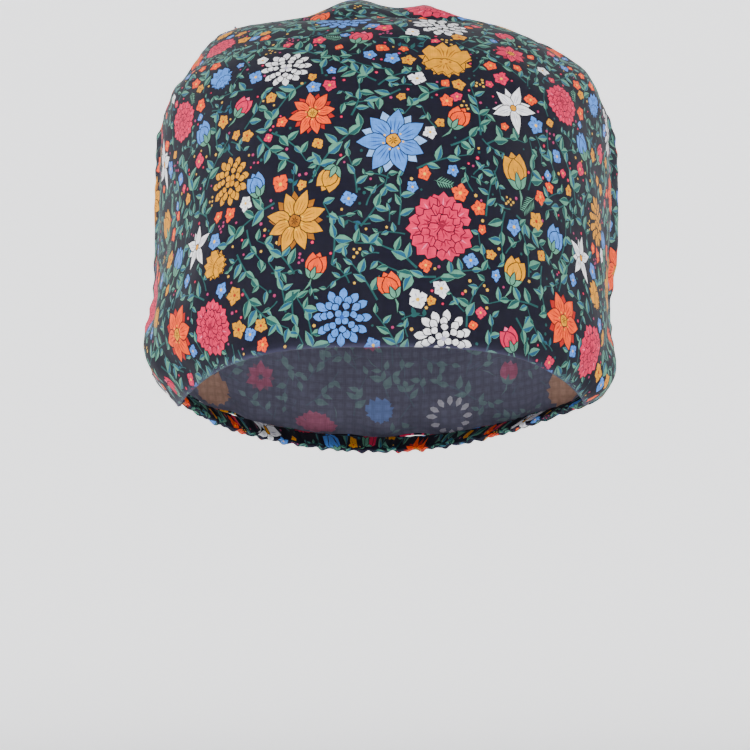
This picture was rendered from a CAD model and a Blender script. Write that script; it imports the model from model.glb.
import math
import random

import bpy
import numpy as np
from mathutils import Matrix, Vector
from mathutils.geometry import delaunay_2d_cdt


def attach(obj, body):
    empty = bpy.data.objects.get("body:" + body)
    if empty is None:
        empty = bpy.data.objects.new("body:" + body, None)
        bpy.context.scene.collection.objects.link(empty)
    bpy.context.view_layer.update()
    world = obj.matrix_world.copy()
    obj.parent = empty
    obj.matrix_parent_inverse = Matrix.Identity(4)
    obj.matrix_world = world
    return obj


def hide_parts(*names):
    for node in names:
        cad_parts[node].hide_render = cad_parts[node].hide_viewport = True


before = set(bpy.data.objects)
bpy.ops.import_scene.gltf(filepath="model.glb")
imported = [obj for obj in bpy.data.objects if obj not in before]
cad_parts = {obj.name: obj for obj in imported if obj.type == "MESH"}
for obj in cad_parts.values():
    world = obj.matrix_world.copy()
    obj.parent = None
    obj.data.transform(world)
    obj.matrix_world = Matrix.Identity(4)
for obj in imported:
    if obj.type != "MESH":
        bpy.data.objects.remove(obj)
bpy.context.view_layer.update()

mm = 0.001

capForm = {
    "seamFoot": 8.0,  # where the leaning seam plane meets z = 0
    "seamLean": 0.09,
    "seamGap": 0.3,
    "foreheadFullness": 0.13,
    "occiputFullness": 0.06,
    "columns": ("left", "right", "side", "fore", "front", "aft", "back", "bend"),
    # rows from the hem to the crown seam; the same sizes as the CAD's
    "sections": (
        (74, 73.5, -20.5, -95, 0, 80, -34, 3.6),
        (77.5, 80, -16.5, -96.2, 6, 86, -30.5, 3.5),
        (83.4, 83.4, -9, -97.4, 13, 91, -23.5, 3.3),
        (86.2, 83.6, 3, -98.6, 22, 97, -12, 3.0),
        (83.8, 82.2, 18, -99.4, 36, 103, 5, 2.6),
        (81.8, 82.2, 35, -99, 51, 106, 23, 2.3),
        (81.6, 82.4, 53, -96, 66, 106.5, 42, 2.1),
        (81.6, 82.4, 69, -90, 80.5, 104, 60, 2.0),
        (80.6, 82, 81.5, -80.5, 93.5, 98.5, 77, 2.0),
        (77.8, 79.4, 91.5, -67.5, 104.5, 90, 92, 2.0),
        (72.4, 73.6, 100.3, -51.5, 112.5, 79, 104, 2.0),
        (67.6, 64.6, 107.8, -33, 117.6, 65, 112.6, 2.0),
        (62, 53, 113.6, -13, 120.2, 46, 118, 2.0),
        (54.5, 39, 117, 18.8, 120.6, 18.8, 120.6, 2.0),
    ),
    # ridges (+) and creases (-): panel, from, to, width, height
    "folds": (
        ("both", (-11, -20, 120), (-10, 34, 120), 8.5, 6.4),
        ("both", (16, -14, 120), (17, 34, 120), 6.8, 5.4),
        ("front", (4, -34, 116), (25, -30, 115), 4.2, -3.4),
        ("front", (-27, -28, 117), (-8, -38, 116), 3.8, -1.8),
        ("front", (-70, -6, 101), (-58, -30, 96), 4.0, -2.6),
        ("front", (-72, -8, 92), (-56, -40, 88), 7.0, 1.6),
        ("front", (46, 4, 113), (62, -18, 102), 4.2, -2.4),
        ("front", (58, 2, 106), (70, -20, 92), 6.5, 1.8),
        ("front", (-84, -4, 20), (-72, -46, -8), 5.5, -2.2),
        ("front", (-85, -10, 4), (-78, -36, -6), 6.5, 2.2),
        ("front", (82, -4, 8), (70, -48, -9), 5.0, -2.2),
        ("front", (82, -10, -5), (76, -36, -12), 6.0, 2.2),
        ("front", (-60, -74, 30), (-20, -97, 44), 9.0, 1.2),
        ("front", (58, -74, 22), (30, -92, 46), 8.0, 1.1),
        ("both", (-56, 5, 116), (-38, 20, 119), 8.0, 2.0),
        ("both", (30, 0, 118), (48, 14, 115), 7.0, -2.0),
    ),
    "backSwell": {"left": 3.4, "right": 5.2, "reach": 0.075, "startRow": 4.2, "endRow": 8.2},
    "easeRow": 9.0,
    "crownEase": 1.0,
    "napeEdge": {"climb": 2.35, "late": 3.2},
    "napeGathers": {"count": 9, "height": 1.9, "reach": 3.2},
    "crownGathers": {"count": 7, "height": 2.3, "reach": 3.4},
}
sectionTable = np.array(capForm["sections"], float)
lastRow = len(sectionTable) - 1
seamNormal = np.array((0, 1, -capForm["seamLean"]))
seamNormal /= np.linalg.norm(seamNormal)


def smooth(low, high, x):
    t = np.clip((x - low) / (high - low), 0, 1)
    return t * t * (3 - 2 * t)


def blendWeights(t):
    t2, t3 = t * t, t * t * t
    return (-0.5 * t + t2 - 0.5 * t3, 1 - 2.5 * t2 + 1.5 * t3, 0.5 * t + 2 * t2 - 1.5 * t3, -0.5 * t2 + 0.5 * t3)


def sectionValue(row, name):
    column = sectionTable[:, capForm["columns"].index(name)]
    low = np.clip(np.floor(row), 0, lastRow - 1).astype(int)
    total = 0
    for k, weight in enumerate(blendWeights(row - low)):
        total = total + weight * column[np.clip(low + k - 1, 0, lastRow)]
    return total


def lowestRow(panel, turn):
    edge = capForm["napeEdge"]
    return np.zeros_like(turn) if panel == "front" else edge["climb"] * np.abs(turn) ** edge["late"]


# smooth surface of a panel: turn -1 to 1 from the left seam to the right seam, row from hem to crown
def basePoint(panel, turn, row):
    sine, cosine = np.sin(turn * np.pi / 2), np.cos(turn * np.pi / 2)
    isFront = panel == "front"
    half = np.where(sine < 0, sectionValue(row, "left"), sectionValue(row, "right"))
    middle = sectionValue(row, "front" if isFront else "back")
    reach = sectionValue(row, "fore" if isFront else "aft")
    dip = sectionValue(row, "bend") if isFront else 2
    z = middle + (sectionValue(row, "side") - middle) * np.abs(sine) ** dip
    fullness = 1 + capForm["foreheadFullness" if isFront else "occiputFullness"] * sine**2
    foot, lean = capForm["seamFoot"], capForm["seamLean"]
    y = foot + lean * z + (reach - foot - lean * middle) * cosine * fullness
    return np.stack((half * sine, y, z), -1)


def normalised(v):
    return v / np.maximum(np.linalg.norm(v, axis=-1, keepdims=True), 1e-9)


def surfaceNormal(place, panel, turn, row, turnStep=0.004, rowStep=0.032):
    a, b = np.maximum(-1, turn - turnStep), np.minimum(1, turn + turnStep)
    c, d = np.maximum(0, row - rowStep), np.minimum(lastRow, row + rowStep)
    across = place(b, row) - place(a, row)
    up = place(turn, d) - place(turn, c)
    normal = normalised(np.cross(across, up))
    return normal if panel == "front" else -normal


def swell(points, start, end, width, height):
    start, line = np.array(start, float), np.array(end, float) - np.array(start, float)
    along = np.clip(((points - start) @ line) / (line @ line), 0, 1)
    gap = np.linalg.norm(points - start - along[..., None] * line, axis=-1)
    return height * (0.55 + 0.45 * np.sin(np.pi * along)) * np.exp(-0.5 * (gap / width) ** 2)


def relief(panel, turn, row, points):
    height = np.zeros(turn.shape)
    for where, start, end, width, rise in capForm["folds"]:
        if where in ("both", panel):
            height += swell(points, start, end, width, rise)
    if panel == "back":
        form, inward = capForm["backSwell"], 1 - np.abs(turn)
        rise = smooth(0, form["reach"], inward)
        band = smooth(form["startRow"] - 1.5, form["startRow"] + 1, row)
        top = 1 - smooth(form["endRow"] - 1, form["endRow"] + 1.5, row)
        full = np.where(turn < 0, form["left"], form["right"])
        height += full * rise * band * top * (1 - smooth(0.15, 0.6, inward))
        nape, crown = capForm["napeGathers"], capForm["crownGathers"]
        above = row - lowestRow(panel, turn)
        wave = np.cos(np.pi * nape["count"] * turn)
        height += nape["height"] * wave * (1 - smooth(0, nape["reach"], above)) * (0.35 + 0.65 * smooth(0, 1, above)) * rise
        wave = np.cos(np.pi * crown["count"] * turn + 0.6)
        fade = smooth(lastRow - crown["reach"], lastRow - 0.6, row) * (1 - smooth(lastRow - 0.6, lastRow, row))
        height += crown["height"] * wave * fade * rise
    return height


class PanelForm:
    def __init__(self, panel, turns, rows):
        self.panel = panel
        self.turns = np.linspace(-1, 1, turns)
        self.rows = np.linspace(0, lastRow, rows)
        turn, row = np.meshgrid(self.turns, self.rows)
        base = basePoint(panel, turn, row)
        normal = surfaceNormal(lambda t, r: basePoint(panel, t, r), panel, turn, row)
        self.points = base + normal * relief(panel, turn, row, base)[..., None]
        self.flatten(base)
        self.normals = self.gridNormals(self.points)

    def gridNormals(self, points):
        normal = normalised(np.cross(np.gradient(points, axis=1), np.gradient(points, axis=0)))
        return normal if self.panel == "front" else -normal

    # the cut cloth: distances along the surface from the middle of the hem
    def flatten(self, points):
        across = np.linalg.norm(np.diff(points, axis=1), axis=-1)
        run = np.concatenate((np.zeros((len(points), 1)), np.cumsum(across, axis=1)), axis=1)
        middle = points.shape[1] // 2
        self.flatU = run - run[:, middle : middle + 1]
        up = np.linalg.norm(np.diff(points, axis=0), axis=-1)
        # towards the crown's corners the cut is eased, as gathers do, so that the flat cloth never laps itself
        ease = capForm["crownEase"] * smooth(capForm["easeRow"] - 2, capForm["easeRow"] + 1, self.rows[1:])[:, None]
        eased = up + ease * (up[:, middle : middle + 1] - up)
        self.flatV = np.concatenate((np.zeros((1, points.shape[1])), np.cumsum(eased, axis=0)), axis=0)

    def sample(self, grid, turn, row):
        x = (np.clip(turn, -1, 1) + 1) / 2 * (len(self.turns) - 1)
        y = np.clip(row, 0, lastRow) / lastRow * (len(self.rows) - 1)
        i = np.clip(np.floor(x), 0, len(self.turns) - 2).astype(int)
        j = np.clip(np.floor(y), 0, len(self.rows) - 2).astype(int)
        wx, wy = blendWeights(x - i), blendWeights(y - j)
        total = 0
        for m in range(4):
            jj = np.clip(j + m - 1, 0, len(self.rows) - 1)
            for n in range(4):
                ii = np.clip(i + n - 1, 0, len(self.turns) - 1)
                weight = wx[n] * wy[m]
                total = total + (weight[..., None] if grid.ndim == 3 else weight) * grid[jj, ii]
        return total

    def place(self, turn, row):
        return self.sample(self.points, turn, row)

    def normal(self, turn, row):
        return normalised(self.sample(self.normals, turn, row))

    # from a place on the cut cloth back to its turn and row
    def locate(self, u, v):
        turn, row = u / 150, v / 190 * lastRow
        for step in range(9):
            errorU = u - self.sample(self.flatU, turn, row)
            errorV = v - self.sample(self.flatV, turn, row)
            ut = (self.sample(self.flatU, turn + 0.01, row) - self.sample(self.flatU, turn - 0.01, row)) / 0.02
            ur = (self.sample(self.flatU, turn, row + 0.1) - self.sample(self.flatU, turn, row - 0.1)) / 0.2
            vt = (self.sample(self.flatV, turn + 0.01, row) - self.sample(self.flatV, turn - 0.01, row)) / 0.02
            vr = (self.sample(self.flatV, turn, row + 0.1) - self.sample(self.flatV, turn, row - 0.1)) / 0.2
            size = ut * vr - ur * vt
            size = np.where(np.abs(size) < 1, 1, size)
            turn = np.clip(turn + np.clip((vr * errorU - ur * errorV) / size, -0.3, 0.3), -1, 1)
            row = np.clip(row + np.clip((ut * errorV - vt * errorU) / size, -2, 2), 0, lastRow)
        return turn, row


def hexToLinear(code):
    parts = [int(code[k : k + 2], 16) / 255 for k in (1, 3, 5)]
    return [p / 12.92 if p <= 0.04045 else ((p + 0.055) / 1.055) ** 2.4 for p in parts] + [1.0]


clothPrint = {
    "repeat": (158.0, 128.0),
    "seed": 11,
    "insideLeast": 2.0,  # smallest shape that shows through on the wrong side
    "bendInside": 0.3,  # finer bends of a drawn edge are left straight
    "bendOutside": 0.07,
    "line": 0.34,  # width of the dark drawn line
    "inks": {
        "ground": "#09081b",
        "line": "#07060f",
        "mustard": "#dc9200",
        "mustardDeep": "#9c5c0c",
        "mustardLight": "#f2bb28",
        "rose": "#d81b4d",
        "roseDeep": "#8c0c30",
        "roseLight": "#ee6088",
        "orange": "#f34a08",
        "orangeDeep": "#b01c10",
        "blue": "#4a86da",
        "blueDeep": "#254c96",
        "blueLight": "#82b0ec",
        "white": "#f1f0f2",
        "greyLilac": "#a7a3bb",
        "sage": "#578f76",
        "sageDeep": "#1c4d4c",
        "teal": "#1f5270",
        "berry": "#a63464",
        "gold": "#d9a838",
    },
    "shades": {
        "mustard": ("mustardDeep", "mustardLight"),
        "rose": ("roseDeep", "roseLight"),
        "orange": ("orangeDeep", "mustard"),
        "blue": ("blueDeep", "blueLight"),
        "white": ("greyLilac", "white"),
    },
    # the large flowers of one repeat: kind, ink, across, up, radius, heading in degrees
    "flowers": (
        ("dahlia", "white", -34, 102, 9.5, 0),
        ("poppy", "mustard", 21, 104, 11.5, -12),
        ("star", "orange", -24, 80, 8.2, 10),
        ("star", "blue", 3, 69, 11.6, -8),
        ("lily", "white", 46, 86, 9.8, -20),
        ("peony", "rose", 70, 96, 9.0, 15),
        ("tulip", "mustard", 47, 62, 7.6, 18),
        ("dahlia", "mustard", -57, 62, 8.8, 0),
        ("star", "mustard", -30, 43, 10.4, 22),
        ("peony", "rose", 19, 40, 11.8, -10),
        ("tulip", "blue", -45, 57, 5.4, 20),
        ("tulip", "blue", 66, 44, 6.2, -24),
        ("peony", "rose", -66, 14, 9.6, 40),
        ("dahlia", "blue", -14, 10, 9.8, 0),
        ("dahlia", "white", 20, 3, 10.0, 20),
        ("star", "orange", 70, 18, 9.6, -30),
        ("tulip", "orange", -23, 27, 5.4, -20),
        ("tulip", "orange", 2, 20, 5.6, 24),
        ("tulip", "orange", 25, 78, 5.6, -30),
        ("tulip", "mustard", -18, 57, 5.8, 150),
        ("tulip", "mustard", 46, 28, 6.2, -16),
        ("tulip", "rose", 45, 5, 5.6, 32),
        ("poppy", "mustard", -62, 34, 6.4, 60),
        ("lily", "white", -74, 44, 8.2, 70),
        ("tulip", "blue", -72, 84, 6.4, 30),
        ("poppy", "blue", -62, 106, 7.2, 20),
        ("star", "rose", 46, 116, 6.8, 0),
        ("tulip", "rose", -8, 117, 6.0, -15),
        ("tulip", "rose", -52, 88, 5.4, -40),
    ),
    # small things that fill in: kind, inks, size range, how many are tried
    "fillers": (
        ("leafStem", ("sage",), (15, 24), 900),
        ("blossom", ("rose", "orange", "white", "blue", "mustard"), (2.5, 3.5), 700),
        ("leafStem", ("sage",), (8, 14), 1500),
        ("sprig", ("sage", "teal"), (7, 11), 900),
        ("blossom", ("rose", "orange", "mustard", "blue"), (1.7, 2.4), 900),
        ("leafStem", ("sage", "sageDeep"), (5, 8), 1500),
        ("berries", ("berry", "gold"), (2.0, 3.4), 900),
        ("dot", ("berry", "gold", "rose", "sageDeep"), (0.4, 0.65), 1500),
    ),
}
inkNames = list(clothPrint["inks"])
inkColours = np.array([hexToLinear(clothPrint["inks"][name]) for name in inkNames])


def turned(points, degrees, at=(0, 0)):
    a = math.radians(degrees)
    spin = np.array(((math.cos(a), math.sin(a)), (-math.sin(a), math.cos(a))))
    return np.asarray(points) @ spin + np.array(at)


# a petal or leaf from its root at the origin up +y; sharp 0 is round, 1 is pointed
def petal(length, width, sharp=0.4, steps=5, lean=0.0):
    t = np.linspace(0, 1, steps + 1)[1:-1]
    half = width / 2 * np.sin(np.pi * t ** (1.25 - 0.6 * sharp)) ** (0.62 + 0.5 * sharp)
    half *= 1 if sharp > 0.6 else 1 + 0.22 * t
    bow = lean * t * t * length
    right = np.stack((half + bow, t * length), -1)
    left = np.stack((-half + bow, t * length), -1)[::-1]
    return np.concatenate((((0, 0),), right, ((lean * length, length),), left))


def disc(radius, sides=7, at=(0, 0), wave=0.0, lobes=5):
    a = np.arange(sides) / sides * 2 * np.pi
    r = radius * (1 + wave * np.cos(lobes * a))
    return np.stack((r * np.cos(a) + at[0], r * np.sin(a) + at[1]), -1)


def stroke(start, end, width, bow=0.0):
    start, end = np.array(start, float), np.array(end, float)
    along = end - start
    side = np.array((-along[1], along[0])) / max(np.linalg.norm(along), 1e-6)
    middle = (start + end) / 2 + side * bow * np.linalg.norm(along)
    return np.array((start, middle - side * width / 2, end, middle + side * width / 2))


def grown(points, distance):
    points = np.asarray(points, float)
    after, before = np.roll(points, -1, 0) - points, points - np.roll(points, 1, 0)
    normal = normalised(np.stack((after[:, 1], -after[:, 0]), -1)) + normalised(np.stack((before[:, 1], -before[:, 0]), -1))
    return points + distance * normalised(normal)


# each flower is a list of (outline, ink, layer): layer 0 shows on both sides of the cloth
def outlined(shape, ink, layer=0):
    return [(grown(shape, clothPrint["line"]), "line", 1), (shape, ink, layer)]


def petalRing(count, root, length, width, ink, shade, sharp, start=0.0, wobble=0.0, rng=None, marks=1):
    shapes = []
    for k in range(count):
        scale = 1 + (rng.uniform(-wobble, wobble) if rng else 0)
        heading = start + 360 / count * k + (rng.uniform(-4, 4) if rng else 0)
        lean = rng.uniform(-0.08, 0.08) if rng else 0
        base = petal(length * scale, width, sharp, lean=lean) + (0, root)
        shapes += [(turned(s, heading), i, n) for s, i, n in outlined(base, ink)]
        for m in range(marks):
            side = (m - (marks - 1) / 2) * width * 0.26
            line = stroke((side * 0.5, root + length * 0.12), (side * 1.1, root + length * (0.62 + 0.1 * (m % 2))), width * 0.075)
            shapes.append((turned(line, heading), shade, 2))
    return shapes


def dahlia(ink, radius, rng):
    shade, light = clothPrint["shades"][ink]
    shapes = []
    for k, count in enumerate((12, 10, 7, 4)):
        reach = radius * (1 - 0.235 * k)
        length = reach * (0.46 if k < 3 else 0.9)
        shapes += petalRing(count, reach - length, length, reach * 3.6 / count * 0.82, ink, shade, 0.25, 14 * k, 0.06, rng, 1)
    return shapes + [(disc(radius * 0.09, 6), shade, 2)]


def star(ink, radius, rng):
    shade, light = clothPrint["shades"][ink]
    count = rng.choice((6, 7, 8))
    shapes = petalRing(count, radius * 0.12, radius * 0.82, radius * 3.1 / count, light if ink == "blue" else shade, shade, 0.7, 180 / count, 0.05, rng, 0)
    shapes += petalRing(count, radius * 0.14, radius * 0.86, radius * 3.5 / count, ink, shade, 0.75, 0, 0.08, rng, 3)
    centre = "mustard" if ink != "mustard" else "mustardDeep"
    shapes += outlined(disc(radius * 0.2, 9, wave=0.1, lobes=4), centre)
    for k in range(7):
        a = k / 7 * 2 * math.pi
        shapes.append((disc(radius * 0.035, 5, (radius * 0.29 * math.cos(a), radius * 0.29 * math.sin(a))), "mustardLight", 2))
        shapes.append((stroke((0, 0), (radius * 0.15 * math.cos(a), radius * 0.15 * math.sin(a)), radius * 0.035), "line", 2))
    return shapes


def lily(ink, radius, rng):
    shade, light = clothPrint["shades"][ink]
    shapes = petalRing(4, 0, radius * 0.82, radius * 0.36, ink, shade, 0.85, 40, 0.1, rng, 1)
    shapes += petalRing(5, 0, radius, radius * 0.42, ink, shade, 0.9, 0, 0.12, rng, 2)
    return shapes + outlined(disc(radius * 0.12, 7), "mustard")


def ruffle(width, height, lobes, rng):
    top = np.linspace(0, 1, lobes * 2 + 1)
    rise = height * (0.72 + 0.28 * np.abs(np.sin(np.pi * lobes * top))) * np.sin(np.pi * (0.16 + 0.68 * top))
    x = (top - 0.5) * width * (1 + 0.1 * np.sin(np.pi * top))
    upper = np.stack((x, rise), -1)[::-1]
    lower = np.array(((-width * 0.3, -height * 0.12), (0, -height * 0.3), (width * 0.3, -height * 0.12)))
    return np.concatenate((lower, upper))


def peony(ink, radius, rng):
    shade, light = clothPrint["shades"][ink]
    shapes = []
    for ring, (count, out) in enumerate(((7, 0.56), (6, 0.32), (4, 0.1))):
        for k in range(count):
            heading = 360 / count * k + 25 * ring + rng.uniform(-8, 8)
            size = radius * (0.62 - 0.1 * ring) * rng.uniform(0.9, 1.12)
            lobe = ruffle(size * 1.25, size * 0.72, 3, rng) + (0, radius * out)
            shapes += [(turned(s, heading), i, n) for s, i, n in outlined(lobe, ink)]
            for m in (-1, 0, 1):
                line = stroke((m * size * 0.1, radius * out), (m * size * 0.34, radius * out + size * 0.46), size * 0.08, m * 0.1)
                shapes.append((turned(line, heading), shade if m or ring else light, 2))
    for k in range(3):
        curl = stroke((-radius * 0.16, radius * (0.1 - 0.1 * k)), (radius * 0.17, radius * (0.06 - 0.08 * k)), radius * 0.1, 0.3)
        shapes.append((turned(curl, 40 * k), shade, 2))
    return shapes


def poppy(ink, radius, rng):
    shade, light = clothPrint["shades"][ink]
    shapes = []
    for heading, wide, tall, rise in ((78, 1.1, 0.85, 0.0), (-80, 1.1, 0.85, 0.0), (150, 1.15, 0.75, 0.0), (-148, 1.1, 0.78, 0.0), (4, 1.5, 0.95, 0.02), (182, 1.2, 0.6, 0.05)):
        lobe = ruffle(radius * wide, radius * tall, 4, rng) + (0, radius * rise)
        shapes += [(turned(s, heading), i, n) for s, i, n in outlined(lobe, ink)]
        for m in (-2, -1, 0, 1, 2):
            line = stroke((m * radius * 0.05, radius * 0.16), (m * radius * wide * 0.17, radius * tall * 0.72), radius * 0.05, m * 0.06)
            shapes.append((turned(line, heading), shade, 2))
    for k in range(5):
        shapes.append((disc(radius * 0.05, 5, (radius * 0.15 * math.cos(k * 1.26), radius * 0.12 * math.sin(k * 1.26))), shade, 2))
    return shapes


def tulip(ink, radius, rng):
    shade, light = clothPrint["shades"][ink]
    stem = [(stroke((0, -radius * 0.5), (-radius * 0.25, -radius * 1.6), radius * 0.13, 0.12), "sage", 0)]
    shapes = stem
    for heading, size, ink2 in ((0, 1.55, light if ink == "rose" else ink), (17, 1.5, ink), (-17, 1.5, ink), (0, 1.25, ink)):
        cup = petal(radius * size, radius * 0.82, 0.55) + (0, 0)
        shapes += [(turned(s, heading, (0, -radius * 0.6)), i, n) for s, i, n in outlined(cup, ink2)]
        for m in (-1, 1):
            line = stroke((m * radius * 0.06, radius * 0.2), (m * radius * 0.14, radius * size * 0.74), radius * 0.07)
            shapes.append((turned(line, heading, (0, -radius * 0.6)), shade, 2))
    for heading in (-48, 48, 0):
        sepal = petal(radius * 0.78, radius * 0.3, 0.8, 5)
        shapes += [(turned(s, heading, (0, -radius * 0.72)), i, n) for s, i, n in outlined(sepal, "sage")]
    return shapes


def leaf(length, width, ink, deep, layer=0):
    whole = petal(length, width, 0.85, 4)
    half = whole[:5]
    return [(whole, ink, layer), (half * (0.86, 0.97), deep, 2)]


def leafStem(ink, size, rng):
    bend = rng.choice((-1, 1)) * rng.uniform(10, 34)
    steps = 5
    spine, heading = [np.zeros(2)], 0.0
    for k in range(steps):
        heading += math.radians(bend) / steps * 1.6
        spine.append(spine[-1] + size / steps * np.array((math.sin(heading), math.cos(heading))))
    spine = np.array(spine)
    side = normalised(np.gradient(spine, axis=0))[:, ::-1] * (1, -1)
    taper = np.linspace(0.26, 0.12, steps + 1)[:, None] * (0.7 + size / 30)
    shapes = [(np.concatenate((spine + side * taper, (spine - side * taper)[::-1])), "sageDeep" if ink == "sage" else ink, 0)]
    leaves = max(3, int(size / 3.1))
    for k in range(leaves):
        t = (k + 1) / leaves
        at = spine[min(steps, int(round(t * steps)))]
        hand = 1 if k % 2 else -1
        reach = (2.0 + size * 0.2) * (1 - 0.35 * t) * rng.uniform(0.85, 1.2)
        angle = math.degrees(math.radians(bend) * t * 1.6) + (hand * rng.uniform(34, 58) if k < leaves - 1 else 0)
        deep = "teal" if rng.random() < 0.6 else "sageDeep"
        shapes += [(turned(s, angle, at), i, n) for s, i, n in leaf(reach, reach * rng.uniform(0.42, 0.58), ink, deep)]
    return shapes


def sprig(ink, size, rng):
    shapes = [(stroke((0, 0), (0, size), 0.42, rng.uniform(-0.1, 0.1)), ink, 0)]
    needles = int(size * 0.9)
    for k in range(needles):
        y = size * (0.15 + 0.8 * k / needles)
        for hand in (-1, 1):
            reach = size * 0.28 * (1 - 0.5 * k / needles)
            shapes.append((stroke((0, y), (hand * reach, y + reach * 0.9), 0.42), ink, 0))
    return shapes


def blossom(ink, radius, rng):
    shade, light = clothPrint["shades"][ink]
    count = rng.choice((4, 5, 5))
    start = rng.uniform(0, 90)
    shapes = []
    for k in range(count):
        cup = petal(radius * rng.uniform(0.85, 1.15), radius * 4.2 / count * 0.86, 0.1, 3, rng.uniform(-0.15, 0.15))
        shapes.append((turned(cup, start + 360 / count * k) * 1.0, ink, 0))
        shapes.append((turned(stroke((0, radius * 0.25), (0, radius * 0.68), radius * 0.13), start + 360 / count * k), shade, 2))
    return shapes + [(disc(radius * 0.2, 6), "mustardLight" if ink != "mustard" else "orangeDeep", 0)]


def berries(ink, size, rng):
    shapes = []
    for k in range(rng.randint(4, 6)):
        a, r = k * 2.4 + rng.uniform(-0.3, 0.3), size * math.sqrt((k + 0.3) / 6)
        shapes.append((disc(rng.uniform(0.42, 0.62), 5, (r * math.cos(a), r * math.sin(a))), ink, 0))
    return shapes


def dot(ink, size, rng):
    return [(disc(size, 5), ink, 0)]


drawings = {"dahlia": dahlia, "star": star, "lily": lily, "peony": peony, "poppy": poppy, "tulip": tulip}
drawings.update({"leafStem": leafStem, "sprig": sprig, "blossom": blossom, "berries": berries, "dot": dot})


# one repeat: the large flowers from the chart, then small things wherever the ground is still bare
def drawRepeat():
    rng = random.Random(clothPrint["seed"])
    width, height = clothPrint["repeat"]
    fine = 2.0  # cells to a millimetre in the map of what is taken
    taken = np.zeros((int(height * fine), int(width * fine)), bool)
    motifs = []

    def cells(points):
        i = np.mod((points[:, 0] * fine).astype(int), taken.shape[1])
        return np.mod((points[:, 1] * fine).astype(int), taken.shape[0]), i

    def spread(shapes, margin):
        steps = np.arange(-margin, margin + 0.1, 0.5)
        grid = np.array([(x, y) for x in steps for y in steps if x * x + y * y <= margin * margin + 0.1])
        return np.concatenate([(s[:, None] + grid).reshape(-1, 2) for s in shapes])

    def filled(shape):
        centre = shape.mean(0)
        return np.concatenate([centre + (shape - centre) * k for k in (1, 0.75, 0.5, 0.25)])

    for kind, ink, x, y, radius, heading in clothPrint["flowers"]:
        shapes = [(turned(s, heading, (x, y)), i, n) for s, i, n in drawings[kind](ink, radius, rng)]
        motifs.append(shapes)
        taken[cells(spread([filled(s) for s, i, n in shapes if n < 2], 0.5))] = True
    for kind, inks, (small, large), tries in clothPrint["fillers"]:
        for attempt in range(tries):
            at = (rng.uniform(0, width), rng.uniform(0, height))
            if taken[cells(np.array([at]))][0]:
                continue
            drawn = drawings[kind](rng.choice(inks), rng.uniform(small, large), rng)
            heading = rng.uniform(0, 360)
            shapes = [(turned(s, heading, at), i, n) for s, i, n in drawn]
            ground = np.concatenate([filled(s) for s, i, n in shapes if n == 0])
            allowed = 0.12 if kind == "leafStem" else 0.03
            if taken[cells(ground)].mean() > allowed:
                continue
            motifs.insert(0 if kind == "leafStem" else len(motifs), shapes)
            taken[cells(spread([ground], 0.45))] = True
    print("print: one repeat holds", len(motifs), "motifs; cloth covered", round(float(taken.mean()), 2))
    return motifs


clothCut = {
    "thickness": 0.9,  # the real cloth is 0.3 mm; hems and seams are folded double and set this
    "hemTurn": 12.0,  # height of the hem turned up inside
    "hemExtra": 0.45,
    "outsideStep": 2.9,  # size of the faces that follow the surface
    "insideStep": 6.0,
    "rollDepth": 1.5,  # how far the cloth turns in at a seam
    "rollWidth": 1.5,
    "puckers": {"spacing": 7.5, "height": 0.75, "reach": 16.0},
    "ripples": ((19.0, 11.0, 0.3), (31.0, 25.0, 0.65), (63.0, 39.0, 1.0)),  # lengths across and up, height
}


def seamDistance(points):
    return np.abs((points - (0, capForm["seamFoot"], 0)) @ seamNormal)


# small relief of the finished cloth: the roll at the seams, puckers beside them and slight ripples
def clothDetail(form, turn, row, points):
    u, v = form.sample(form.flatU, turn, row), form.sample(form.flatV, turn, row)
    gap = seamDistance(points)
    height = -clothCut["rollDepth"] * np.exp(-((gap / clothCut["rollWidth"]) ** 2))
    pucker = clothCut["puckers"]
    along = points[..., 2] * (np.abs(turn) > 0.6) + points[..., 0] * (np.abs(turn) <= 0.6)
    wave = np.sin(2 * np.pi * along / pucker["spacing"] + 1.7 * np.sin(along / 11.0)) * np.sin(along / 19.0 + 0.6)
    height = height + pucker["height"] * wave * np.exp(-gap / pucker["reach"] * 1.6) * (1 - np.exp(-gap / 2.0))
    for k, (across, up, rise) in enumerate(clothCut["ripples"]):
        bend = 0.9 * np.sin(v / up * 1.3 + k) + 0.6 * np.sin((u + v) / (across * 1.7))
        height = height + rise * 0.5 * np.sin(2 * np.pi * u / across / 1.4 + bend + 2 * k) * np.sin(2 * np.pi * v / up / 2.2 + 0.8 * k + bend)
    return height


def finishedPoint(form, turn, row, side):
    points = form.place(turn, row)
    normal = form.normal(turn, row)
    height = clothDetail(form, turn, row, points) + side * clothCut["thickness"] / 2
    if side < 0 and form.panel == "front":
        v = form.sample(form.flatV, turn, row)
        height = height - clothCut["hemExtra"] * (1 - smooth(clothCut["hemTurn"] - 0.3, clothCut["hemTurn"] + 0.3, v))
    points = points + normal * height[..., None]
    # both panels stop short of the seam plane
    shift = -0.5 if form.panel == "front" else 0.5
    away = (points - (0, capForm["seamFoot"], 0)) @ seamNormal - shift * capForm["seamGap"]
    over = np.maximum(away, 0) if form.panel == "front" else np.minimum(away, 0)
    return points - over[..., None] * seamNormal


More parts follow.
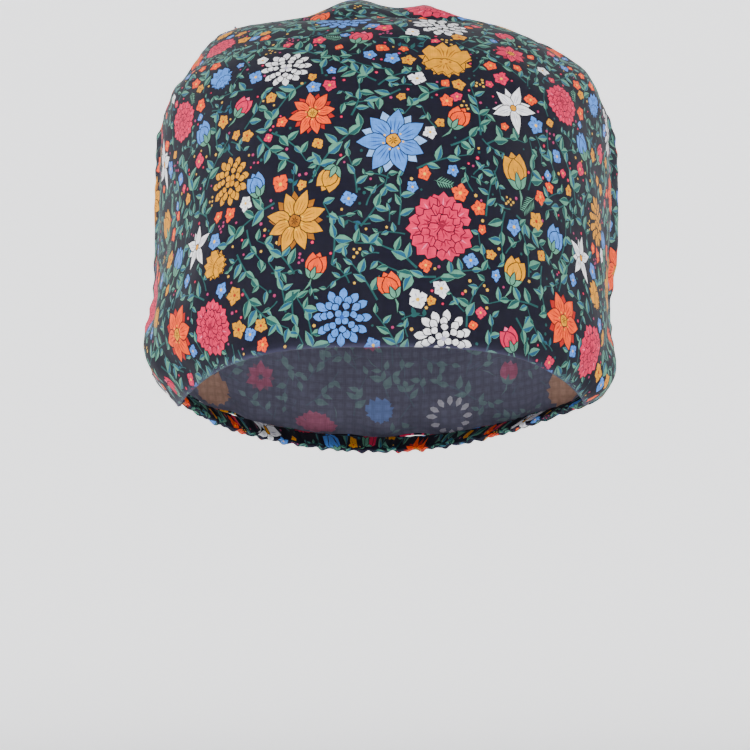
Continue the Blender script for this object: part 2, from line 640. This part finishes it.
def cutOutline(form, spacing):
    corners = []
    last = float(lastRow)
    low = float(lowestRow(form.panel, np.array([1.0]))[0])
    count = int(2 * form.flatU[0, -1] / spacing)
    turns = np.linspace(-1, 1, count + 1)[:-1]
    corners.append(np.stack((turns, lowestRow(form.panel, turns)), -1))
    count = int(150 / spacing)
    rows = np.linspace(low, last, count + 1)[:-1]
    corners.append(np.stack((np.ones(count), rows), -1))
    turns = np.linspace(1, -1, int(92 / spacing) + 1)[:-1]
    corners.append(np.stack((turns, np.full(len(turns), last)), -1))
    corners.append(np.stack((-np.ones(count), rows[::-1] + (last - low) / count), -1))
    edge = np.concatenate(corners)
    return np.stack((form.sample(form.flatU, edge[:, 0], edge[:, 1]), form.sample(form.flatV, edge[:, 0], edge[:, 1])), -1)


def insideOf(outline, points):
    x, y = points[:, 0][:, None], points[:, 1][:, None]
    ax, ay = outline[:, 0][None], outline[:, 1][None]
    bx, by = np.roll(outline[:, 0], -1)[None], np.roll(outline[:, 1], -1)[None]
    crosses = (ay > y) != (by > y)
    at = ax + (y - ay) / np.where(by == ay, 1e-9, by - ay) * (bx - ax)
    return ((crosses & (x < at)).sum(1) % 2) == 1


def edgeDistance(outline, points):
    parts = np.array_split(points, max(1, len(points) // 500))
    return np.concatenate([np.min(np.linalg.norm(p[:, None] - outline[None], axis=-1), axis=1) for p in parts if len(p)])


def meshPoints(outline, step, extraRows=()):
    low, high = outline.min(0), outline.max(0)
    grid = []
    for j, y in enumerate(np.arange(low[1] + step / 2, high[1], step * 0.87)):
        xs = np.arange(low[0] + (j % 2) * step / 2, high[0], step)
        grid.append(np.stack((xs, np.full(len(xs), y)), -1))
    for y in extraRows:
        xs = np.arange(low[0], high[0], step * 0.8)
        grid.append(np.stack((xs, np.full(len(xs), y)), -1))
    grid = np.concatenate(grid)
    grid = grid[insideOf(outline, grid)]
    return grid[edgeDistance(outline, grid) > 0.4 * step]


# a drawn shape without the corners that bend its edge by less than the tolerance
def plainer(shape, tolerance):
    while len(shape) > 4:
        before, after = np.roll(shape, 1, axis=0), np.roll(shape, -1, axis=0)
        chord, reach = after - before, shape - before
        length = np.maximum(np.linalg.norm(chord, axis=1), 1e-9)
        bend = np.abs(chord[:, 0] * reach[:, 1] - chord[:, 1] * reach[:, 0]) / length
        least = int(np.argmin(bend))
        if bend[least] > tolerance:
            break
        shape = np.delete(shape, least, axis=0)
    return shape


# the print cut to the panel's outline: flat points, triangles and the ink of each
def cutPrint(outline, motifs, shift, step, inside=False, extraRows=()):
    points, faces, inks = [outline], [list(range(len(outline)))], ["ground"]
    count = len(outline)
    low, high = outline.min(0) - 1, outline.max(0) + 1
    width, height = clothPrint["repeat"]
    drawn = []
    for shape, ink, layer in (part for shapes in motifs for part in shapes):
        size = float(np.max(np.linalg.norm(shape - shape.mean(0), axis=1)))
        if inside and (layer > 0 or size < clothPrint["insideLeast"]):
            continue
        shape = plainer(shape, clothPrint["bendInside" if inside else "bendOutside"])
        drawn.append((shape, ink, shape.mean(0), size))
    # how deep inside the cut each 2 mm cell lies
    cells = np.stack(np.meshgrid(np.arange(low[0] + 1, high[0] + 1, 2), np.arange(low[1] + 1, high[1] + 1, 2), indexing="ij"), -1)
    flatCells = cells.reshape(-1, 2)
    depth = (edgeDistance(outline, flatCells) * np.where(insideOf(outline, flatCells), 1, -1)).reshape(cells.shape[:2])
    for a in range(int(math.floor((low[0] - shift[0]) / width)) - 1, int(math.ceil((high[0] - shift[0]) / width)) + 1):
        for b in range(int(math.floor((low[1] - shift[1]) / height)) - 1, int(math.ceil((high[1] - shift[1]) / height)) + 1):
            offset = np.array((a * width + shift[0], b * height + shift[1]))
            for shape, ink, centre, size in drawn:
                middle = centre + offset
                if (middle + size < low).any() or (middle - size > high).any():
                    continue
                moved = shape + offset
                cell = tuple(np.clip(((middle - low) / 2).astype(int), 0, np.array(depth.shape) - 1))
                if depth[cell] < -size - 3:
                    continue
                if depth[cell] < size + 3:
                    within = insideOf(outline, moved)
                    if not within.any() or (inside and not within.all()):
                        continue
                area = np.sum(moved[:, 0] * np.roll(moved[:, 1], -1) - np.roll(moved[:, 0], -1) * moved[:, 1])
                points.append(moved if area > 0 else moved[::-1])
                faces.append(list(range(count, count + len(moved))))
                inks.append(ink)
                count += len(moved)
    points.append(meshPoints(outline, step, extraRows))
    flat = np.concatenate(points)
    verts, edges, tris, ov, oe, owners = delaunay_2d_cdt([Vector(p) for p in flat], [], faces, 1, 1e-4, True)
    index = {name: k for k, name in enumerate(inkNames)}
    kept = [(tri, index[inks[max(owner)]]) for tri, owner in zip(tris, owners) if 0 in owner]
    tris = np.array([k[0] for k in kept])
    inkOf = np.array([k[1] for k in kept])
    used = np.unique(tris)
    remap = np.full(len(verts), -1)
    remap[used] = np.arange(len(used))
    return np.array(verts)[used], remap[tris], inkOf


def edgeLoop(tris):
    directed = {}
    seen = set()
    for a, b, c in tris.tolist():
        for edge in ((a, b), (b, c), (c, a)):
            seen.add(edge)
    for a, b in seen:
        if (b, a) not in seen:
            directed[a] = b
    start = min(directed)
    loop, at = [start], directed[start]
    while at != start:
        loop.append(at)
        at = directed[at]
    if len(loop) != len(directed):
        raise RuntimeError("the cut cloth has more than one edge loop")
    return loop


def makeMesh(name, points, faces, colours, flat, bakeUv, wear, normals):
    mesh = bpy.data.meshes.new(name)
    mesh.from_pydata((points * mm).tolist(), [], faces)
    mesh.polygons.foreach_set("use_smooth", np.ones(len(faces), bool))
    loops = np.array([v for f in faces for v in f])
    sizes = np.array([len(f) for f in faces])
    corner = np.repeat(np.arange(len(faces)), sizes)
    ink = mesh.color_attributes.new("ink", "FLOAT_COLOR", "CORNER")
    ink.data.foreach_set("color", colours[corner].astype(np.float32).ravel())
    worn = mesh.attributes.new("wear", "FLOAT", "POINT")
    worn.data.foreach_set("value", wear.astype(np.float32))
    for layerName, layer in (("OFBake", bakeUv), ("threads", flat / 100)):
        uv = mesh.uv_layers.new(name=layerName)
        uv.data.foreach_set("uv", layer[loops].astype(np.float32).ravel())
    mesh.validate()
    mesh.normals_split_custom_set_from_vertices(normals.tolist())
    piece = bpy.data.objects.new(name, mesh)
    bpy.context.scene.collection.objects.link(piece)
    return piece


def buildPanel(name, form, motifs, shift):
    outline = cutOutline(form, 1.6)
    flatOut, trisOut, inkOut = cutPrint(outline, motifs, shift, clothCut["outsideStep"])
    loopOut = edgeLoop(trisOut)
    turnRows = (clothCut["hemTurn"] - 0.4, clothCut["hemTurn"] + 0.4) if form.panel == "front" else ()
    flatIn, trisIn, inkIn = cutPrint(flatOut[loopOut], motifs, shift, clothCut["insideStep"], True, turnRows)
    loopIn = edgeLoop(trisIn)
    place = {tuple(np.round(p, 5)): k for k, p in enumerate(flatIn)}
    loopIn = [place[tuple(np.round(flatOut[k], 5))] for k in loopOut]

    def laid(flat, side):
        turn, row = form.locate(flat[:, 0], flat[:, 1])
        row = np.maximum(row, lowestRow(form.panel, turn))
        points = finishedPoint(form, turn, row, side)
        normal = surfaceNormal(lambda t, r: finishedPoint(form, t, r, side), form.panel, turn, row, 0.006, 0.05)
        return points, normal

    outer, normalOut = laid(flatOut, 1)
    inner, normalIn = laid(flatIn, -1)
    # rounded rim between the two faces
    ring = outer[loopOut]
    ringIn = inner[loopIn]
    tangent = normalised(np.roll(ring, -1, 0) - np.roll(ring, 1, 0))
    outward = normalised(np.cross(tangent, normalOut[loopOut])) * (1 if form.panel == "front" else -1)
    nearSeam = seamDistance(ring) < 2.5
    reach = np.where(nearSeam, 0.0, 0.38)[:, None]
    middle = (ring + ringIn) / 2 + outward * reach
    count, total = len(outer), len(outer) + len(inner)
    points = np.concatenate((outer, inner, middle))
    normals = np.concatenate((normalOut, -normalIn, outward))
    flip = form.panel == "back"
    faces = [list(t) if not flip else list(t[::-1]) for t in trisOut.tolist()]
    faces += [[a + count for a in (t[::-1] if not flip else t)] for t in trisIn.tolist()]
    rimInk = {}
    for tri, ink in zip(trisOut.tolist(), inkOut.tolist()):
        for a, b in ((0, 1), (1, 2), (2, 0)):
            rimInk[(tri[a], tri[b])] = ink
    rimFaces, rimColours = [], []
    for k in range(len(loopOut)):
        n = (k + 1) % len(loopOut)
        ink = rimInk[(loopOut[k], loopOut[n])]
        a, b, c, d = loopOut[k], loopOut[n], total + n, total + k
        quad = [b, a, d, c]
        lower = [total + n, total + k, count + loopIn[k], count + loopIn[n]]
        rimFaces += [quad if not flip else quad[::-1], lower if not flip else lower[::-1]]
        rimColours += [inkColours[ink], inkColours[ink]]
    faces += rimFaces
    # the wrong side shows the print through the cloth, paler; the turned hem shows the right side
    through = inkColours[inkIn] * 0.5 + np.array((0.16, 0.16, 0.22, 0.5))
    if form.panel == "front":
        onHem = flatIn[trisIn].mean(1)[:, 1] < clothCut["hemTurn"]
        through[onHem] = inkColours[inkIn][onHem]
    colours = np.concatenate((inkColours[inkOut], through, np.array(rimColours)))
    flat = np.concatenate((flatOut, flatIn, flatOut[loopOut]))
    span = max(np.ptp(flatOut[:, 0]), np.ptp(flatOut[:, 1])) * 1.01
    corner = flatOut.min(0)
    bake = (flat - corner) / span * 0.995 + 0.002
    # outside in the lower part, inside at half size above it, the rim drawn out beside the outside's edge
    bake[count:total] = (flatIn - corner) / span * 0.48 + np.array((0.002, bake[:count, 1].max() + 0.01))
    edgeWay = normalised(np.roll(flatOut[loopOut], -1, 0) - np.roll(flatOut[loopOut], 1, 0))
    bake[total:] = bake[np.array(loopOut)] + np.stack((edgeWay[:, 1], -edgeWay[:, 0]), -1) * 0.0012
    wear = np.exp(-seamDistance(points) / 1.3)
    hemWear = np.zeros(len(points))
    if form.panel == "front":
        hemWear = np.exp(-np.abs(flat[:, 1]) / 0.9)
    wear = np.maximum(wear, hemWear)
    piece = makeMesh(name, points, faces, colours, flat, bake, wear, normals)
    print(name + ":", len(faces), "faces, cut", [round(float(x)) for x in np.ptp(outline, axis=0)], "mm")
    return piece, outline


napeCasing = {
    "gap": 0.4,
    "height": 11.0,
    "wall": 2.4,
    "fullness": 1.3,  # the channel's cloth is this much longer than the elastic lets it lie
    "ruffles": ((5.6, 0.55, 0.0), (9.1, 0.45, 1.3), (3.7, 0.2, 2.1)),  # length, height, phase
    "stitch": {"length": 2.1, "pitch": 3.1, "radius": 0.2, "inset": 1.6},
}


# a place on the smooth surface some way below the lower edge of the back panel
def pointBelow(turn, depth):
    lowest = lowestRow("back", turn)
    near = np.maximum(0.4, lowest)
    rowLength = np.linalg.norm(basePoint("back", turn, near) - basePoint("back", turn, near - 0.4), axis=-1) / 0.4
    row = lowest - depth / rowLength
    foot = basePoint("back", turn, np.maximum(row, 0))
    down = normalised(basePoint("back", turn, np.zeros_like(turn)) - basePoint("back", turn, np.full_like(turn, 0.3)))
    return foot + down * (np.maximum(-row, 0) * rowLength)[..., None]


# around 0 to 1 goes once round the channel, from its upper inside edge out, down and back up
def casingPoint(turn, around):
    size = napeCasing
    angle = around * 2 * np.pi + np.pi / 2
    across, along = np.cos(angle), np.sin(angle)
    squareAlong = np.sign(along) * np.abs(along) ** 0.45
    squareAcross = -np.sign(across) * np.abs(across) ** 0.8
    depth = size["gap"] + size["height"] * (0.5 - 0.5 * squareAlong)
    a, b = np.maximum(-1, turn - 0.01), np.minimum(1, turn + 0.01)
    sideways = pointBelow(b, depth) - pointBelow(a, depth)
    up = pointBelow(turn, depth - 1) - pointBelow(turn, depth + 1)
    normal = normalised(np.cross(up, sideways))
    arc = turn * 118
    ruffle = 0
    for length, height, phase in size["ruffles"]:
        ruffle = ruffle + height * np.sin(2 * np.pi * arc / length + phase + 0.8 * np.sin(arc / 13 + phase) + 0.5 * along)
    held = 1 - 0.75 * np.exp(-(((along - 0.72) / 0.18) ** 2))
    out = squareAcross * size["wall"] / 2 + ruffle * held * (0.35 + 0.4 * (squareAcross > 0)) * (1 - smooth(0.965, 1, np.abs(turn)))
    points = pointBelow(turn, depth) + normal * out[..., None]
    away = (points - (0, capForm["seamFoot"], 0)) @ seamNormal - 0.5 * capForm["seamGap"]
    return points - np.minimum(away, 0)[..., None] * seamNormal


def buildCasing(motifs):
    length, girth = 236 * napeCasing["fullness"], 2 * napeCasing["height"] + 3
    steps = int(length / 1.5)
    along = np.linspace(0, length, steps + 1)
    side = np.linspace(0, girth, 18)[1:-1]
    rim = [np.stack((along, np.zeros(steps + 1)), -1), np.stack((np.full(16, length), side), -1)]
    rim += [np.stack((along[::-1], np.full(steps + 1, girth)), -1), np.stack((np.zeros(16), side[::-1]), -1)]
    flat, tris, inks = cutPrint(np.concatenate(rim), motifs, (40.0, 60.0), 1.3)
    turn, around = flat[:, 0] / length * 2 - 1, flat[:, 1] / girth
    points = casingPoint(turn, around)
    step = 0.002
    acrossWay = casingPoint(np.minimum(turn + step, 1), around) - casingPoint(np.maximum(turn - step, -1), around)
    roundWay = casingPoint(turn, around + 0.01) - casingPoint(turn, around - 0.01)
    normals = normalised(np.cross(acrossWay, roundWay))
    outwards = np.mean(np.sum(normals * (points - (0, 10, -20)), -1)[(around > 0.15) & (around < 0.35)])
    faces = tris.tolist()
    if outwards < 0:
        normals = -normals
        faces = [f[::-1] for f in faces]
    bake = flat / length * 0.99 + 0.004
    bake[:, 1] = flat[:, 1] / length * 0.99 + 0.01
    wear = 0.5 * np.exp(-(((around - 0.5) / 0.03) ** 2))
    piece = makeMesh("casing_cloth_piece", points, faces, inkColours[inks], flat, bake, wear, normals)
    print("casing:", len(faces), "faces")
    return piece, (length, girth)


# a row of lockstitches: each a short thread that dips into the cloth at both ends
def buildStitches():
    size = napeCasing["stitch"]
    turns = np.linspace(-0.985, 0.985, 500)
    depth = napeCasing["gap"] + size["inset"]
    line = casingPoint(turns, np.full(500, 0.165))
    inner = casingPoint(turns, np.full(500, 0.3))
    run = np.concatenate(((0,), np.cumsum(np.linalg.norm(np.diff(line, axis=0), axis=1))))
    verts, faces = [], []
    for k in range(int(run[-1] / size["pitch"])):
        start = k * size["pitch"]
        for j in range(6):
            t = j / 5
            at = np.array([np.interp(start + t * size["length"], run, line[:, c]) for c in range(3)])
            ahead = np.array([np.interp(start + t * size["length"] + 0.3, run, line[:, c]) for c in range(3)])
            way = normalised(ahead - at)
            out = normalised(at * (1, 1, 0) - (0, 10, 0))
            side = normalised(np.cross(way, out))
            rise = 0.32 * math.sin(math.pi * t) - 0.12
            radius = size["radius"] * (0.45 + 0.55 * math.sin(math.pi * t))
            for m in range(6):
                a = m / 6 * 2 * math.pi
                verts.append(at + out * (rise + radius * math.sin(a)) + side * radius * math.cos(a))
        base = k * 36
        for j in range(5):
            for m in range(6):
                n = (m + 1) % 6
                faces.append((base + j * 6 + m, base + j * 6 + n, base + j * 6 + 6 + n, base + j * 6 + 6 + m))
        faces.append(tuple(base + m for m in range(5, -1, -1)))
        faces.append(tuple(base + 30 + m for m in range(6)))
    mesh = bpy.data.meshes.new("casing_stitches")
    mesh.from_pydata((np.array(verts) * mm).tolist(), [], faces)
    mesh.polygons.foreach_set("use_smooth", np.ones(len(faces), bool))
    piece = bpy.data.objects.new("casing_stitches", mesh)
    bpy.context.scene.collection.objects.link(piece)
    return piece


def addNode(tree, kind, settings=None, links=None):
    node = tree.nodes.new(kind)
    for name, value in (settings or {}).items():
        if name in node.inputs:
            node.inputs[name].default_value = value
        elif isinstance(name, int):
            node.inputs[name].default_value = value
        else:
            setattr(node, name, value)
    for name, source in (links or {}).items():
        tree.links.new(source, node.inputs[name])
    return node


poplinLook = {
    "threadPitch": 0.6,  # real poplin has a thread each 0.25 mm; drawn coarser so that it shows
    "roughness": (0.74, 0.9),
    "ior": 1.5,
    "sheen": 0.03,
    "sheenRoughness": 0.45,
    "bump": 0.00005,
}


# printed cotton poplin: matt, faintly fuzzy, a fine plain weave, ink a little uneven over the threads
def makePoplin(name):
    look = poplinLook
    material = bpy.data.materials.new(name)
    material.use_nodes = True
    tree = material.node_tree
    tree.nodes.clear()
    out = addNode(tree, "ShaderNodeOutputMaterial")
    ink = addNode(tree, "ShaderNodeAttribute", {"attribute_name": "ink"})
    worn = addNode(tree, "ShaderNodeAttribute", {"attribute_name": "wear"})
    threads = addNode(tree, "ShaderNodeUVMap", {"uv_map": "threads"})
    count = 100 / look["threadPitch"]
    wave = []
    for direction in ("X", "Y"):
        wave.append(addNode(tree, "ShaderNodeTexWave", {"bands_direction": direction, "Scale": count / 20, "Distortion": 0.6, "Detail": 1.0, "Detail Scale": 0.4}, {"Vector": threads.outputs["UV"]}))
    weave = addNode(tree, "ShaderNodeMath", {"operation": "MULTIPLY"}, {0: wave[0].outputs["Fac"], 1: wave[1].outputs["Fac"]})
    slubs = []
    for stretch in ((260, 14, 1), (14, 260, 1)):
        mapping = addNode(tree, "ShaderNodeMapping", {"Scale": stretch}, {"Vector": threads.outputs["UV"]})
        slubs.append(addNode(tree, "ShaderNodeTexNoise", {"Scale": 1.0, "Detail": 2.0}, {"Vector": mapping.outputs["Vector"]}))
    slub = addNode(tree, "ShaderNodeMath", {"operation": "ADD"}, {0: slubs[0].outputs["Fac"], 1: slubs[1].outputs["Fac"]})
    cloud = addNode(tree, "ShaderNodeTexNoise", {"Scale": 5.0, "Detail": 4.0}, {"Vector": threads.outputs["UV"]})
    slubLight = addNode(tree, "ShaderNodeMapRange", {"From Min": 0.7, "From Max": 1.3, "To Min": 0.86, "To Max": 1.14}, {"Value": slub.outputs[0]})
    cloudLight = addNode(tree, "ShaderNodeMapRange", {"From Min": 0.3, "From Max": 0.7, "To Min": 0.93, "To Max": 1.07}, {"Value": cloud.outputs["Fac"]})
    light = addNode(tree, "ShaderNodeMath", {"operation": "MULTIPLY"}, {0: slubLight.outputs[0], 1: cloudLight.outputs[0]})
    weaveLight = addNode(tree, "ShaderNodeMapRange", {"From Min": 0.0, "From Max": 0.6, "To Min": 0.9, "To Max": 1.06}, {"Value": weave.outputs[0]})
    tone = addNode(tree, "ShaderNodeMath", {"operation": "MULTIPLY"}, {0: light.outputs[0], 1: weaveLight.outputs[0]})
    printed = addNode(tree, "ShaderNodeVectorMath", {"operation": "SCALE"}, {"Vector": ink.outputs["Color"], "Scale": tone.outputs[0]})
    rub = addNode(tree, "ShaderNodeMath", {"operation": "MULTIPLY"}, {0: worn.outputs["Fac"], 1: cloud.outputs["Fac"]})
    rubbed = addNode(tree, "ShaderNodeMix", {"data_type": "RGBA"}, {"Factor": rub.outputs[0]})
    tree.links.new(printed.outputs[0], rubbed.inputs[6])
    rubbed.inputs[7].default_value = hexToLinear("#4b4a66")
    rough = addNode(tree, "ShaderNodeMapRange", {"From Min": 0.3, "From Max": 0.7, "To Min": look["roughness"][0], "To Max": look["roughness"][1]}, {"Value": cloud.outputs["Fac"]})
    bump = addNode(tree, "ShaderNodeBump", {"Strength": 0.6, "Distance": look["bump"]}, {"Height": weave.outputs[0]})
    shader = addNode(tree, "ShaderNodeBsdfPrincipled", {"IOR": look["ior"], "Sheen Weight": look["sheen"], "Sheen Roughness": look["sheenRoughness"], "Specular IOR Level": 0.22})
    tree.links.new(rubbed.outputs[2], shader.inputs["Base Color"])
    tree.links.new(rough.outputs[0], shader.inputs["Roughness"])
    tree.links.new(bump.outputs[0], shader.inputs["Normal"])
    tree.links.new(shader.outputs[0], out.inputs["Surface"])
    return material


# polyester sewing thread: two plies, a soft gloss
def makeThread():
    material = bpy.data.materials.new("polyesterThread")
    material.use_nodes = True
    tree = material.node_tree
    shader = tree.nodes["Principled BSDF"]
    place = addNode(tree, "ShaderNodeTexCoord")
    ply = addNode(tree, "ShaderNodeTexWave", {"Scale": 900.0, "Distortion": 0.5, "bands_direction": "DIAGONAL"}, {"Vector": place.outputs["Object"]})
    ramp = addNode(tree, "ShaderNodeValToRGB", None, {"Fac": ply.outputs["Fac"]})
    ramp.color_ramp.elements[0].color = hexToLinear("#14142c")
    ramp.color_ramp.elements[1].color = hexToLinear("#34345c")
    bump = addNode(tree, "ShaderNodeBump", {"Strength": 0.5, "Distance": 0.00008}, {"Height": ply.outputs["Fac"]})
    tree.links.new(ramp.outputs["Color"], shader.inputs["Base Color"])
    tree.links.new(bump.outputs["Normal"], shader.inputs["Normal"])
    shader.inputs["Roughness"].default_value = 0.5
    shader.inputs["IOR"].default_value = 1.55
    return material


motifs = drawRepeat()
poplin = makePoplin("printedCottonPoplin")
frontForm = PanelForm("front", 181, 121)
backForm = PanelForm("back", 181, 121)
frontPanel, frontOutline = buildPanel("front_cloth", frontForm, motifs, (0.0, 0.0))
backPanel, backOutline = buildPanel("back_cloth", backForm, motifs, (61.0, 37.0))
for panel, node, slot in ((frontPanel, "front_panel", "front_cloth"), (backPanel, "back_panel", "back_cloth")):
    panel.data.materials.append(poplin)
    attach(panel, "root")
    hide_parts(node)


casing, casingSize = buildCasing(motifs)
casing.data.materials.append(poplin)
stitches = buildStitches()
stitches.data.materials.append(makeThread())
for piece in (casing, stitches):
    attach(piece, "root")
    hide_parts("nape_casing")


studio = {
    "floor": -0.32,
    "paint": "#f6f6f7",
    "glow": 0.95,
    "glowFrom": 0.8,
    "glowTo": 2.0,
    "bowlRadius": 2.6,
    "bowlCurve": 1.1,
    "cameraPlace": (-0.003, -1.085, -0.0095),
    "lens": 143.0,
}


# round studio bowl: a pale floor that curves up all round, lit from behind towards its rim
def makeBowl():
    material = bpy.data.materials.new("mattBowlPaint")
    material.use_nodes = True
    tree = material.node_tree
    shader = tree.nodes["Principled BSDF"]
    shader.inputs["Base Color"].default_value = hexToLinear(studio["paint"])
    shader.inputs["Roughness"].default_value = 0.9
    shader.inputs["Emission Color"].default_value = hexToLinear(studio["paint"])
    glow = tree.nodes.new("ShaderNodeAttribute")
    glow.attribute_name = "glow"
    tree.links.new(glow.outputs["Fac"], shader.inputs["Emission Strength"])
    radius, curve = studio["bowlRadius"], studio["bowlCurve"]
    profile = [(0.02 + k / 12 * (radius - curve), 0.0) for k in range(13)]
    for k in range(1, 17):
        a = k / 16 * math.pi / 2
        profile.append((radius - curve + curve * math.sin(a) + 0.02, curve - curve * math.cos(a)))
    profile.append((radius + 0.02, 2.6))
    around, count = 96, len(profile)
    turns = [2 * math.pi * j / around for j in range(around)]
    points = [(r * math.cos(a), r * math.sin(a), studio["floor"] + z) for a in turns for r, z in profile]
    faces = []
    for j in range(around):
        here, there = j * count, (j + 1) % around * count
        faces += [(here + k, here + k + 1, there + k + 1, there + k) for k in range(count - 1)]
    faces.append(tuple(j * count for j in range(around)))
    mesh = bpy.data.meshes.new("bowl")
    mesh.from_pydata(points, [], faces)
    mesh.polygons.foreach_set("use_smooth", [True] * len(faces))
    reach = np.array([r + 0.6 * z for r, z in profile])
    strength = studio["glow"] * smooth(studio["glowFrom"], studio["glowTo"], reach)
    lit = mesh.attributes.new("glow", "FLOAT", "POINT")
    lit.data.foreach_set("value", np.tile(strength, around).astype(np.float32))
    mesh.materials.append(material)
    bowl = bpy.data.objects.new("bowl", mesh)
    bpy.context.scene.collection.objects.link(bowl)


def addSoftbox(name, place, target, size, power, colour="#ffffff"):
    lamp = bpy.data.lights.new(name, "AREA")
    lamp.shape = "RECTANGLE"
    lamp.size, lamp.size_y = size
    lamp.energy = power
    lamp.color = hexToLinear(colour)[:3]
    holder = bpy.data.objects.new(name, lamp)
    holder.location = place
    holder.rotation_euler = (Vector(target) - Vector(place)).to_track_quat("-Z", "Y").to_euler()
    bpy.context.scene.collection.objects.link(holder)


makeBowl()
addSoftbox("keySoftbox", (-0.75, -1.35, 0.95), (0, 0, 0.05), (1.1, 1.1), 17)
addSoftbox("fillSoftbox", (1.05, -1.1, 0.35), (0, 0, 0.03), (1.0, 1.2), 3)
addSoftbox("topSoftbox", (0.1, 0.25, 1.5), (0, 0, 0.1), (1.2, 1.2), 2)
world = bpy.data.worlds.new("studioAir")
world.use_nodes = True
world.node_tree.nodes["Background"].inputs["Color"].default_value = hexToLinear("#e6e8ee")
world.node_tree.nodes["Background"].inputs["Strength"].default_value = 0.2
bpy.context.scene.world = world

camera = bpy.data.objects.new("camera", bpy.data.cameras.new("camera"))
camera.data.lens = studio["lens"]
camera.data.sensor_width = 36.0
camera.location = studio["cameraPlace"]
camera.rotation_euler = (math.pi / 2, 0, 0)
bpy.context.scene.collection.objects.link(camera)
bpy.context.scene.camera = camera
